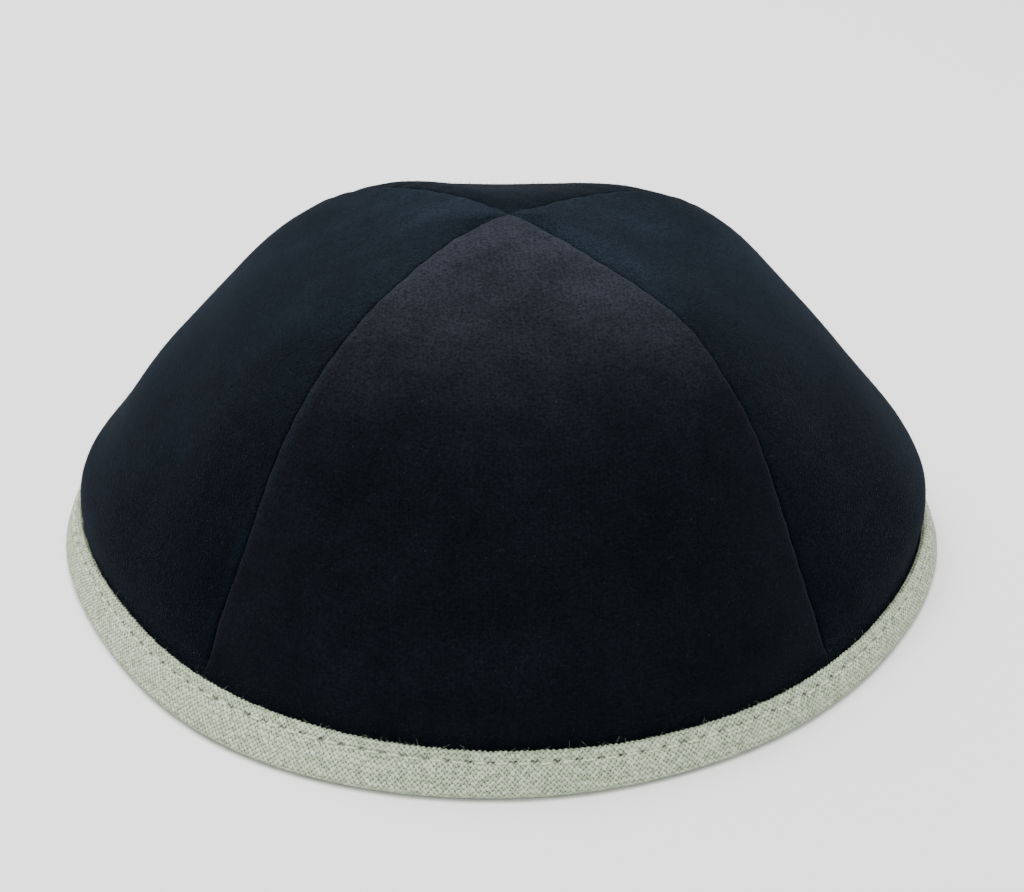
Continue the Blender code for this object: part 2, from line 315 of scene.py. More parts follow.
# Fineness of the fibrous grain on each cloth, in grains a metre
UNDERSIDE_GRAIN = 1500
LINEN_GRAIN = 2400
FIBRE_GRAIN = 900
THREAD_GRAIN = 3500
HAIR_GRAIN = 700

# Mesh fineness
PANEL_COLUMNS = 132
EVEN_COLUMNS = 0.45          # share of a panel's columns that are evenly spaced
ROWS_A_LEVEL = 15
HEM_ROWS = 4
STEPS_A_STITCH = 14
LIP_STEPS = 6
LIP_PRESSED = 3              # steps of the upper edge that lie on the velvet
INNER_LIP_STEPS = 4
FACE_STEPS = 16
INSIDE_STEPS = 8
FOLD_STEPS = 4
ARC_STEPS = 8                # steps a stitch along the rim when the stitches are placed
STITCH_SIDES = 8
STITCH_RINGS = 10
MERGE = 0.001 * MM

# Ground and light
FLOOR_HALF = 6.0
FLOOR_TONE = (0.93, 0.93, 0.93)
STUDIO_STRENGTH = 0.90
OVERHEAD_PLACE = (-0.12, 0.10, 0.95)
OVERHEAD_SIZE = 0.8
OVERHEAD_POWER = 18.0

# The photograph's view: where the camera stands, what it looks at, its turn and its lens
CAMERA_PLACE = Vector((0.0003, -0.3782, 0.2432))
CAMERA_AIM = Vector((0.0016, 0.0003, 0.0181))
CAMERA_ROLL = 0.9
CAMERA_LENS = 78.8

Wedge = namedtuple("Wedge", "name middle half laps")
# Whether each panel's edge lies on top at its first and its second seam
PANELS = (
    ("panel_front", (True, True)),
    ("panel_right", (False, True)),
    ("panel_back", (False, False)),
    ("panel_left", (True, False)),
)


def wedges():
    """Each panel's name, middle azimuth, half angle and laps."""
    ends = SEAM_AZIMUTHS[1:] + (SEAM_AZIMUTHS[0] + 360.0,)
    for (name, laps), start, end in zip(PANELS, SEAM_AZIMUTHS, ends):
        yield Wedge(name, radians((start + end) / 2), radians((end - start) / 2), laps)


def smooth(before, start, end, after, part):
    """The smooth curve between start and end, numbers or points, and its direction."""
    bend = 2 * before - 5 * start + 4 * end - after
    turn = 3 * start - before - 3 * end + after
    value = 0.5 * (2 * start + (end - before) * part + bend * part ** 2 + turn * part ** 3)
    along = 0.5 * ((end - before) + 2 * bend * part + 3 * turn * part ** 2)
    return value, along


def read_round(values, azimuth):
    """Values at even steps all round, read smoothly at an azimuth."""
    at = (azimuth % (2 * pi)) / (2 * pi) * len(values)
    near = [values[(int(at) + step) % len(values)] for step in (-1, 0, 1, 2)]
    return smooth(*near, at - int(at))[0]


def rim_value(azimuth, column):
    """A column of the rim's table at an azimuth."""
    return read_round([getattr(station, column) for station in RIM], azimuth)


def outline(count):
    """The rim's outline at unit radius."""
    for step in range(count):
        azimuth = 2 * pi * step / count
        reach = rim_value(azimuth, "reach")
        yield Vector((reach * sin(azimuth), -reach * cos(azimuth), 0))


def outline_box():
    """Size and middle of the outline at unit radius."""
    points = list(outline(720))
    low = Vector(map(min, zip(*points)))
    high = Vector(map(max, zip(*points)))
    return high - low, (high + low) / 2


# Worked out from the frame
RIM_LOW, RIM_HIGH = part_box("rim_binding")
OUTLINE_SIZE, OUTLINE_MIDDLE = outline_box()
RIM_RADIUS = (RIM_HIGH.x - RIM_LOW.x) / OUTLINE_SIZE.x
RIM_MIDDLE = OUTLINE_MIDDLE * RIM_RADIUS
BINDING_HEIGHT = RIM_HIGH.z
CROWN_HEIGHT = CAD_BOX[1].z
RISE = CROWN_HEIGHT - BINDING_HEIGHT
RIM_LAYERS = 2 * (BINDING_WALL + BINDING_GAP) + HEM_WALL
STITCH_PITCH = 2 * pi * RIM_RADIUS / STITCH_COUNT
SLOT_FLOOR = 1.2 * BINDING_WALL
HEM_EDGE = SLOT_FLOOR + BINDING_GAP
MEAN_LEAN = radians(sum(station.lean for station in RIM) / len(RIM))
DOME_ROWS = ROWS_A_LEVEL * (len(DOME) - 1)


def edge_height(azimuth):
    """Height of the binding's upper edge."""
    return BINDING_HEIGHT * (1 + read_round(EDGE_RISE, azimuth))


def rim_reach(azimuth):
    """Reach of the rim over the binding's fold."""
    return RIM_RADIUS * rim_value(azimuth, "reach")


def lean_at(azimuth):
    """Angle that the rim leans inwards."""
    return radians(rim_value(azimuth, "lean"))


def set_back(lean, height):
    """How far a leaning rim has moved inwards at a height."""
    return (height - BINDING_ROUND) * tan(lean)


def hem_reach(azimuth, height):
    """Reach of the velvet's outer side within the binding."""
    lean = lean_at(azimuth)
    layers = (BINDING_WALL + BINDING_GAP) / cos(lean)
    return rim_reach(azimuth) - set_back(lean, height) - layers


def in_space(reach, azimuth, height, sideways=0.0):
    """A point of a meridian plane, with the rim's middle over the origin."""
    x = reach * sin(azimuth) + sideways * cos(azimuth)
    y = -reach * cos(azimuth) + sideways * sin(azimuth)
    return Vector((x, y, height)) - RIM_MIDDLE


def dome_line(azimuth, place):
    """Points of the dome's outer side in one meridian plane, one for each level."""
    bow = cos(place * pi / 2)
    edge = hem_reach(azimuth, BINDING_HEIGHT)
    even = RIM_RADIUS - set_back(MEAN_LEAN, BINDING_HEIGHT) - BINDING_WALL - BINDING_GAP
    points = []
    for level in DOME:
        share = level.seam_reach + (level.crest_reach - level.seam_reach) * bow
        height = level.seam_height + (level.crest_height - level.seam_height) * bow
        reach = share * (edge + (even - edge) * height)
        points.append(Vector((reach, BINDING_HEIGHT + height * RISE)))
    return points


def smooth_line(points, lean, row):
    """Point and outward normal at a row of the smooth curve that runs on into the rim."""
    before = Vector((-points[1].x, points[1].y))
    run = (points[-1] - points[-2]).length
    after = points[-1] + run * Vector((sin(lean), -cos(lean)))
    line = [before, *points, after]
    at = row / ROWS_A_LEVEL
    index = min(int(at), len(points) - 2)
    point, along = smooth(*line[index:index + 4], at - index)
    along.normalize()
    return point, Vector((-along.y, along.x))


def felt(mark, name, place, height):
    """How much of a dent or stroke is felt at a place of a panel, from 0 to 1."""
    aside = abs(place - mark.place) / mark.width
    above = abs((height - BINDING_HEIGHT) / RISE - mark.height) / mark.tall
    if mark.panel != name or aside >= 1 or above >= 1:
        return 0.0
    return (cos(aside * pi / 2) * cos(above * pi / 2)) ** 2


def dented(name, place, height):
    """How far the cloth has sunk at a place of a panel."""
    return sum(dent.depth * felt(dent, name, place, height) for dent in DENTS)


def seam_distance(wedge, place, point):
    """How far a place of a panel lies from its nearer seam."""
    return (1 - abs(place)) * wedge.half * max(point.x, 0.0)


def lies_on_top(wedge, place):
    """Whether the panel's nearer edge is the upper one at its seam."""
    return wedge.laps[0] if place < 0 else wedge.laps[1]


def painted_nap_light(wedge, place, point):
    """How light the nap is painted: the painted light and shade of its strokes, and the painted
    highlight along the edge of an upper panel.
    """
    tone = 1 + sum(stroke.tone * felt(stroke, wedge.name, place, point.y) for stroke in PAINTED_LIGHT_STROKES)
    from_seam = seam_distance(wedge, place, point)
    # the upper panel's rolled edge gets a painted highlight
    if lies_on_top(wedge, place):
        tone += CREST_HIGHLIGHT * exp(-(from_seam / CREST_REACH) ** 2)
        tone += EDGE_HIGHLIGHT * exp(-(from_seam / LAP_REACH) ** 2)
    return tone


def fade(value, start, end):
    """0 at the start, 1 at the end, smoothly."""
    part = min(1.0, max(0.0, (value - start) / (end - start)))
    return part * part * (3 - 2 * part)


def drift_at(drifts, reach):
    """How far aside a seam lies at a reach."""
    for low, high in zip(drifts, drifts[1:]):
        if reach < high.reach:
            return low.aside + (high.aside - low.aside) * fade(reach, low.reach, high.reach)
    return drifts[-1].aside


def drifted(azimuth, reach):
    """An azimuth moved along with the seam beside it."""
    moved = azimuth
    for seam, drifts in SEAM_DRIFTS:
        aside = (azimuth - radians(seam) + pi) % (2 * pi) - pi
        near = abs(aside) / radians(DRIFT_SPREAD)
        if near < 1 and reach > DRIFT_FROM:
            turn = drift_at(drifts, reach) / max(reach, DRIFT_LEAST)
            moved += turn * cos(near * pi / 2) ** 2
    return moved


def seam_relief(wedge, place, point, length):
    """Height of the cloth beside a seam: the roll, the lap and the puckers."""
    from_seam = seam_distance(wedge, place, point)
    room = fade(point.x, 0.0, APEX_CALM)
    on_top = lies_on_top(wedge, place)
    lap = LAP_LIFT if on_top else -LAP_SINK
    relief = lap * exp(-(from_seam / LAP_REACH) ** 2) * room
    wander = PUCKER_WANDER * noise.noise(Vector((length * PUCKER_WANDER_RATE, 0.5, 1)))
    wave = sin(2 * pi * length / PUCKER_PITCH + wander)
    relief += PUCKER * wave * exp(-from_seam / PUCKER_REACH) * room
    pillow = min(PILLOW_WIDTH, wedge.half * max(point.x, 0.0))
    risen = 1 - (1 - min(1.0, from_seam / pillow)) ** 2 if pillow else 0.0
    above = fade(point.y, BINDING_HEIGHT, BINDING_HEIGHT + PILLOW_RISE)
    relief += PILLOW_DEPTH * (risen - PILLOW_MEAN) * room * above
    roll = TOP_ROLL if on_top else LOW_ROLL
    width = roll.width * room
    if from_seam < width:
        relief -= roll.depth * room * (1 - sqrt(1 - (1 - from_seam / width) ** 2))
    return relief


def cloth_relief(wedge, place, point, azimuth, length):
    """How far the panel's outer side stands off its smooth form."""
    spot = in_space(point.x, azimuth, point.y)
    above = point.y - BINDING_HEIGHT
    calm = fade(point.x, 0.0, SWELL_HEAD) * fade(above, 0.0, SWELL_FOOT)
    relief = -dented(wedge.name, place, point.y)
    relief += SWELL * calm * noise.noise(spot / SWELL_SIZE)
    relief += FINE_SWELL * calm * noise.noise(spot / FINE_SWELL_SIZE)
    free = fade(above, HEM_CALM, HEM_CALM + HEM_FREE)
    relief += free * seam_relief(wedge, place, point, length)
    gather = 1 + HEM_GATHER * noise.noise(spot / HEM_GATHER_SIZE)
    puff = max(0.0, above - HEM_CALM) / HEM_PUFF_RISE
    if puff < HEM_PUFF_END:
        relief += HEM_PUFF * gather * puff * exp(1 - puff)
    return relief


def inside_wall(wedge, place, point):
    """Thickness of the panel, with its turned edges on the inside."""
    from_seam = seam_distance(wedge, place, point)
    turned = 1 - fade(from_seam, ALLOWANCE, ALLOWANCE + ALLOWANCE_EDGE)
    above = point.y - BINDING_HEIGHT
    full = HEM_WALL + (PANEL_WALL - HEM_WALL) * fade(above, 0.0, HEM_WALL_RISE)
    begun = fade(above, *ALLOWANCE_FOOT) * fade(point.x, *ALLOWANCE_HEAD)
    return full + ALLOWANCE_STEP * turned * begun


def across(column):
    """A column's place across its panel, -1 and 1 at the seams, with more columns there."""
    return EVEN_COLUMNS * column + (1 - EVEN_COLUMNS) * sin(column * pi / 2)


def panel_column(wedge, column, rows):
    """Both sides of a panel in one meridian plane, the lengths along it and the nap's painted
    light and shade.
    """
    place = across(column)
    azimuth = wedge.middle + place * wedge.half
    lean = lean_at(azimuth)
    line = dome_line(azimuth, place)
    slide = -SEAM_PRESS / 2 / sin(wedge.half)
    turn = azimuth - wedge.middle
    sideways = -slide * sin(turn)
    length = 0.0
    last = None
    found = []
    for row in range(rows + 1):
        if row <= DOME_ROWS:
            point, outward = smooth_line(line, lean, row)
        else:
            share = (row - DOME_ROWS) / (rows - DOME_ROWS)
            height = BINDING_HEIGHT + (HEM_EDGE - BINDING_HEIGHT) * share
            point = Vector((hem_reach(azimuth, height), height))
            outward = Vector((1 / cos(lean), 0))
        length += (point - last).length if last else 0.0
        last = point
        sunk = inside_wall(wedge, place, point) + dented(wedge.name, place, point.y)
        inner = point - sunk * outward
        outer = point
        if row < DOME_ROWS:
            outer = point + cloth_relief(wedge, place, point, azimuth, length) * outward
        top = slide * cos(turn) * max(0.0, 1 - point.x / LAP_REACH)
        around = drifted(azimuth, point.x)
        found.append((
            in_space(max(outer.x, 0.0) + top, around, outer.y, sideways),
            in_space(max(inner.x, 0.0) + top, around, inner.y, sideways),
            Vector((turn * point.x, length)),
            painted_nap_light(wedge, place, point),
        ))
    return found


def finish_mesh(name, form, materials, weld=True):
    """Turn a shaped bmesh into a smooth named object on the root body."""
    if weld:
        bmesh.ops.remove_doubles(form, verts=form.verts, dist=MERGE)
        bmesh.ops.recalc_face_normals(form, faces=form.faces)
    mesh = bpy.data.meshes.new(name)
    form.to_mesh(mesh)
    form.free()
    for material in materials:
        mesh.materials.append(material)
    mesh.shade_smooth()
    piece = bpy.data.objects.new(name, mesh)
    bpy.context.scene.collection.objects.link(piece)
    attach(piece, "root")
    return piece


def velvet_panel(wedge, name, pile, underside):
    """A wedge of velvet, its pile outside and its plain back inside."""
    rows = DOME_ROWS + HEM_ROWS
    form = bmesh.new()
    lengths = form.loops.layers.uv.new("cloth")
    # the nap attribute carries the painted light and shade of the strokes and the painted
    # highlight of the upper edges
    nap = form.verts.layers.float.new("nap")
    bmesh.ops.create_grid(form, x_segments=PANEL_COLUMNS, y_segments=rows, size=1)
    grown = bmesh.ops.extrude_face_region(form, geom=form.faces[:])
    inner = {item for item in grown["geom"] if isinstance(item, bmesh.types.BMVert)}
    columns = [
        panel_column(wedge, 2 * step / PANEL_COLUMNS - 1, rows)
        for step in range(PANEL_COLUMNS + 1)
    ]
    flat = {}
    for vert in form.verts:
        column = round((vert.co.x + 1) / 2 * PANEL_COLUMNS)
        row = round((1 - vert.co.y) / 2 * rows)
        outer_spot, inner_spot, flat[vert], vert[nap] = columns[column][row]
        vert.co = inner_spot if vert in inner else outer_spot
    for face in form.faces:
        face.material_index = 1 if all(vert in inner for vert in face.verts) else 0
        for loop in face.loops:
            loop[lengths].uv = flat[loop.vert]
    piece = finish_mesh(name, form, (pile, underside))
    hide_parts(wedge.name)
    return piece


def loose_pile(name, panels, fibre):
    """Single pile hairs that stand or lie loose on the velvet, all round."""
    form = bmesh.new()
    bmesh.ops.create_cone(form, cap_ends=True, segments=3, radius1=1, radius2=0, depth=1)
    hair = finish_mesh(name, form, (fibre,), weld=False)
    template = [corner.co.copy() for corner in hair.data.vertices]
    row = hair.modifiers.new("row", "ARRAY")
    row.count = LOOSE_HAIRS
    bpy.context.view_layer.update()
    shown = hair.evaluated_get(bpy.context.evaluated_depsgraph_get())
    hair.data = bpy.data.meshes.new_from_object(shown)
    hair.modifiers.clear()
    tones = hair.data.attributes.new("nap", "FLOAT", "POINT")
    faces = [
        (panel, face) for panel in panels for face in panel.data.polygons
        if face.material_index == 0
        and face.normal.dot(face.center) > OUTSIDE_SHARE * face.center.length
    ]
    rng = random.Random(23)
    hem_top = BINDING_HEIGHT + HEM_HAIR_BAND
    weights = [face.area * (HEM_HAIRS if face.center.z < hem_top else 1) for _, face in faces]
    grown = rng.choices(faces, weights=weights, k=LOOSE_HAIRS)
    for index, (panel, face) in enumerate(grown):
        ends = [panel.data.vertices[corner].co for corner in face.vertices]
        root = ends[0].lerp(ends[1], rng.random()).lerp(ends[2], rng.random())
        away = Vector([rng.uniform(-1, 1) for _ in range(3)])
        away += Vector((0, 0, HAIR_RISE))
        flat = away - away.dot(face.normal) * face.normal
        direction = (face.normal * rng.uniform(*HAIR_STAND) + flat).normalized()
        side = direction.cross(face.normal).normalized()
        deep = direction.cross(side)
        long = rng.uniform(*HAIR_LENGTH)
        first = index * len(template)
        # painted light per panel, and the lighter hairs just above the binding
        tone = HAIR_PAINTED_LIGHT[panel.name] * (HEM_HAIR_TONE if face.center.z < hem_top else 1)
        for step, spot in enumerate(template):
            hair.data.vertices[first + step].co = (
                root - face.normal * HAIR_WIDTH + direction * long * (spot.z + 0.5)
                + 0.5 * HAIR_WIDTH * (side * spot.x + deep * spot.y))
            tones.data[first + step].value = tone
    return hair


def binding_section(azimuth, lean, arc):
    """The folded strip's section: reach, height and length along the cloth."""
    round_rim = Vector((cos(azimuth), sin(azimuth), 0))
    wave = noise.noise(round_rim * EDGE_SLOW)
    wave += EDGE_QUICK_SHARE * noise.noise(round_rim * EDGE_QUICK)
    thread = 2 * pi * arc / (THREAD_PITCH * sqrt(2))
    wave += EDGE_THREADS * sin(thread + EDGE_THREAD_WANDER * wave)
    knot = 0.5 + 0.5 * cos(2 * pi * arc / STITCH_PITCH)
    top = edge_height(azimuth) + EDGE_WAVE * (wave - EDGE_DRAWN * knot)
    wall = BINDING_WALL
    thickness = RIM_LAYERS / cos(lean)
    reach = rim_reach(azimuth)
    up = Vector((-sin(lean), cos(lean)))
    out = Vector((cos(lean), sin(lean)))
    shoulder = Vector((reach, BINDING_ROUND))
    face = (top - BINDING_ROUND) / cos(lean)
    lip = 0.5 * wall
    draw = STITCH_SINK * (0.5 + 0.5 * knot)
    points = []
    # the upper edge, a small fold that rests on the velvet
    middle = shoulder + up * (face - lip) - out * lip
    for step in range(LIP_STEPS + 1):
        turn = pi * (1 - step / LIP_STEPS)
        press = BINDING_GAP - LIP_GAP if step < LIP_PRESSED else 0.0
        points.append(middle + out * (lip * cos(turn) - press) + up * (lip * sin(turn)))
    # down the outer face, drawn in along the stitch line
    for step in range(1, FACE_STEPS + 1):
        down = lip + (face - lip) * (step / FACE_STEPS) ** FACE_CROWDING
        pull = exp(-((down - STITCH_DROP) / STITCH_TROUGH) ** 2)
        soft = FACE_SWELL * sin(pi * (down - lip) / (face - lip)) ** 2
        spot = Vector((arc / FACE_UNEVEN_SIZE, down / FACE_UNEVEN_SIZE, 2))
        soft += FACE_UNEVEN * noise.noise(spot)
        points.append(shoulder + up * (face - down) + out * (soft - draw * pull))
    # round the fold to the sole, and up the inner side
    heel = (thickness - BINDING_SOLE) / 2
    for step in range(1, FOLD_STEPS + 1):
        turn = pi / 2 * step / FOLD_STEPS
        points.append(Vector((reach - heel * (1 - cos(turn)), BINDING_ROUND * (1 - sin(turn)))))
    for step in range(FOLD_STEPS):
        turn = pi / 2 * step / FOLD_STEPS
        points.append(Vector((
            reach - thickness + heel * (1 - sin(turn)), BINDING_ROUND * (1 - cos(turn)))))
    inner = Vector((reach - thickness, BINDING_ROUND))
    for step in range(INSIDE_STEPS + 1):
        rise = (face - lip) * step / INSIDE_STEPS
        pull = exp(-((face - rise - STITCH_DROP) / STITCH_TROUGH) ** 2)
        points.append(inner + up * rise + out * draw * pull)
    for step in range(1, INNER_LIP_STEPS + 1):
        turn = pi * (1 - step / INNER_LIP_STEPS)
        points.append(inner + up * (face - lip) + out * lip
                      + out * (lip * cos(turn)) + up * (lip * sin(turn)))
    # down into the slot that holds the velvet
    floor_up = (SLOT_FLOOR - BINDING_ROUND) / cos(lean)
    points.append(inner + out * wall + up * floor_up)
    points.append(shoulder - out * wall + up * floor_up)
    length = 0.0
    found = []
    for here, before in zip(points, points[:1] + points[:-1]):
        length += (here - before).length
        found.append((here.x, here.y, length))
    return found


def rim_arcs(count):
    """Azimuths all round, and the length of rim up to each."""
    azimuths = [2 * pi * step / count + pi for step in range(count + 1)]
    length = 0.0
    found = []
    for azimuth, before in zip(azimuths, azimuths[:1] + azimuths[:-1]):
        length += (azimuth - before) * rim_reach(azimuth)
        found.append((azimuth, length))
    share = 2 * pi * RIM_RADIUS / length
    return [(azimuth, arc * share) for azimuth, arc in found]


def azimuth_at(arcs, length):
    """The azimuth that lies a length of rim along from the binding's join."""
    low, high = 0, len(arcs) - 1
    while high - low > 1:
        middle = (low + high) // 2
        if arcs[middle][1] <= length:
            low = middle
        else:
            high = middle
    part = (length - arcs[low][1]) / (arcs[high][1] - arcs[low][1])
    return arcs[low][0] + (arcs[high][0] - arcs[low][0]) * part


def linen_binding(name, linen):
    """The strip: a flat grid rolled up along its section and bent round the rim."""
    count = STITCH_COUNT * STEPS_A_STITCH
    arcs = rim_arcs(count)
    sections = [binding_section(azimuth, lean_at(azimuth), arc) for azimuth, arc in arcs]
    sections[-1] = sections[0]
    corners = len(sections[0])
    form = bmesh.new()
    lengths = form.loops.layers.uv.new("cloth")
    bmesh.ops.create_grid(form, x_segments=count, y_segments=corners, size=1)
    flat = {}
    for vert in form.verts:
        station = round((vert.co.x + 1) / 2 * count)
        corner = round((vert.co.y + 1) / 2 * corners)
        azimuth, arc = arcs[station]
        reach, height, length = sections[station][corner % corners]
        if corner == corners:
            length = sections[station][-1][2] + BINDING_HEIGHT
        flat[vert] = Vector((arc, length))
        vert.co = in_space(reach, azimuth, height)
    for face in form.faces:
        for loop in face.loops:
            loop[lengths].uv = flat[loop.vert]
    piece = finish_mesh(name, form, (linen,))
    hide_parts("rim_binding")
    return piece


def rim_frame(azimuth, outside):
    """Directions along, up and out of the binding's face, and the place of its foot."""
    lean = lean_at(azimuth)
    along = Vector((cos(azimuth), sin(azimuth), 0))
    up = Vector((-sin(lean) * sin(azimuth), sin(lean) * cos(azimuth), cos(lean)))
    out = Vector((cos(lean) * sin(azimuth), -cos(lean) * cos(azimuth), sin(lean)))
    reach = rim_reach(azimuth)
    if outside:
        return along, up, out, in_space(reach, azimuth, BINDING_ROUND)
    foot = in_space(reach - RIM_LAYERS / cos(lean), azimuth, BINDING_ROUND)
    return along, up, -out, foot


def face_height(azimuth):
    """Height of the binding's face along its lean, from the fold to the upper edge."""
    return (edge_height(azimuth) - BINDING_ROUND) / cos(lean_at(azimuth))


def stitch_row(name, thread, outside):
    """A row of topstitches, each a plump length of thread with its ends in the cloth."""
    form = bmesh.new()
    twist = form.loops.layers.uv.new("cloth")
    arcs = rim_arcs(STITCH_COUNT * ARC_STEPS)
    rng = random.Random(11)
    flat = {}
    for stitch in range(STITCH_COUNT):
        azimuth = azimuth_at(arcs, (stitch + 0.5) * STITCH_PITCH)
        along, up, out, foot = rim_frame(azimuth, outside)
        face = face_height(azimuth)
        shake = rng.uniform(-STITCH_SHAKE, STITCH_SHAKE) * MM
        base = foot + up * (face - STITCH_DROP + shake)
        tilt = STITCH_TILT + rng.uniform(-STITCH_TILT_SHAKE, STITCH_TILT_SHAKE)
        half_length = 0.5 * STITCH_SHARE * STITCH_PITCH * rng.uniform(*STITCH_LENGTHS)
        made = bmesh.ops.create_uvsphere(
            form, u_segments=STITCH_SIDES, v_segments=STITCH_RINGS, radius=1)
        for vert in made["verts"]:
            flat[vert] = Vector((vert.co.z * half_length, vert.co.x * STITCH_THICKNESS))
            thick = 0.5 * STITCH_THICKNESS * sqrt(max(0.0, 1 - abs(vert.co.z) ** STITCH_BLUNTNESS))
            round_off = thick / (hypot(vert.co.x, vert.co.y) or 1.0)
            shift = vert.co.z * half_length
            dive = STITCH_DIVE * abs(vert.co.z) ** STITCH_DIVE_CURVE
            vert.co = (base + along * shift
                       + up * (vert.co.x * round_off + tilt * shift)
                       + out * (vert.co.y * round_off + STITCH_STAND - dive))
    for face in form.faces:
        for loop in face.loops:
            loop[twist].uv = flat[loop.vert]
    piece = finish_mesh(name, form, (thread,), weld=False)
    return piece


def strand(form, root, direction, bend, length, width):
    """A thin tapering strand that grows from a root and leans over."""
    side = direction.cross(bend)
    side = side.normalized() if side.length > 1e-6 else direction.orthogonal().normalized()
    deep = direction.cross(side).normalized()
    made = bmesh.ops.create_cone(form, cap_ends=True, cap_tris=True, segments=3,
                                 radius1=width / 2, radius2=width / 2, depth=1.0)
    lower = [vert for vert in made["verts"] if vert.co.z < 0]
    upper = [vert for vert in made["verts"] if vert.co.z > 0]
    for vert in lower:
        vert.co = root + side * vert.co.x + deep * vert.co.y - direction * width
    tip = root + direction * length + bend * length
    for vert in upper:
        vert.co = tip + STRAY_TIP * (side * vert.co.x + deep * vert.co.y)


def stray_fibres(name, fibre):
    """Linen fibres that stand out of the binding's upper edge."""
    form = bmesh.new()
    rng = random.Random(5)
    for _ in range(STRAY_FIBRES):
        azimuth = rng.uniform(0, 2 * pi)
        along, up, out, foot = rim_frame(azimuth, True)
        face = face_height(azimuth)
        root = foot + up * (face - STRAY_ROOT) - out * rng.uniform(0.1, 0.6) * MM
        direction = (up * rng.uniform(0.5, 1.0) + along * rng.uniform(-1.0, 1.0)
                     + out * rng.uniform(-0.1, 0.6)).normalized()
        bend = along * rng.uniform(-0.6, 0.6) - out * rng.uniform(0.0, 0.3)
        length = rng.choice(STRAY_LENGTHS) * MM * rng.uniform(*STRAY_SPREAD)
        strand(form, root, direction, bend, length, STRAY_WIDTH)
    piece = finish_mesh(name, form, (fibre,), weld=False)
    return piece


def node(tree, kind, **settings):
    """A shader node with some of its settings."""
    made = tree.nodes.new(kind)
    for key, value in settings.items():
        setattr(made, key, value)
    return made


def math_node(tree, operation, first, second=None, third=None):
    """A Math node whose inputs are numbers or sockets; returns its output."""
    made = node(tree, "ShaderNodeMath", operation=operation)
    for slot, value in zip(made.inputs, (first, second, third)):
        if value is None:
            continue
        if isinstance(value, bpy.types.NodeSocket):
            tree.links.new(value, slot)
        else:
            slot.default_value = value
    return made.outputs[0]


def blend(tree, first, second, share):
    """A share of the first value and the rest of the second; returns their sum."""
    return math_node(tree, "MULTIPLY_ADD", first, share,
                     math_node(tree, "MULTIPLY", second, 1 - share))


def mix_colour(tree, factor, first, second):
    """A colour Mix node whose inputs are colours or sockets; returns its output."""
    made = node(tree, "ShaderNodeMix", data_type="RGBA")
    for index, value in ((0, factor), (6, first), (7, second)):
        slot = made.inputs[index]
        if isinstance(value, bpy.types.NodeSocket):
            tree.links.new(value, slot)
        elif index == 0:
            slot.default_value = value
        else:
            slot.default_value = (*value, 1.0)
    return made.outputs[2]


def noise_value(tree, vector, scale, detail=2.0, roughness=0.5):
    """A Noise texture's value at a scale in features a metre."""
    made = node(tree, "ShaderNodeTexNoise")
    tree.links.new(vector, made.inputs["Vector"])
    made.inputs["Scale"].default_value = scale
    made.inputs["Detail"].default_value = detail
    made.inputs["Roughness"].default_value = roughness
    return made.outputs["Fac"]


def remap(tree, value, low, high, to_low=0.0, to_high=1.0):
    """A value brought from one range to another, and held within it."""
    made = node(tree, "ShaderNodeMapRange")
    tree.links.new(value, made.inputs["Value"])
    for name, number in (("From Min", low), ("From Max", high),
                         ("To Min", to_low), ("To Max", to_high)):
        made.inputs[name].default_value = number
    return made.outputs["Result"]


def new_group(name, inputs, outputs):
    """An empty shader node group with float or vector inputs and named outputs."""
    group = bpy.data.node_groups.new(name, "ShaderNodeTree")
    for label, kind in inputs:
        group.interface.new_socket(label, in_out="INPUT", socket_type=kind)
    for label, kind in outputs:
        group.interface.new_socket(label, in_out="OUTPUT", socket_type=kind)
    entry = group.nodes.new("NodeGroupInput")
    leave = group.nodes.new("NodeGroupOutput")
    return group, entry, leave


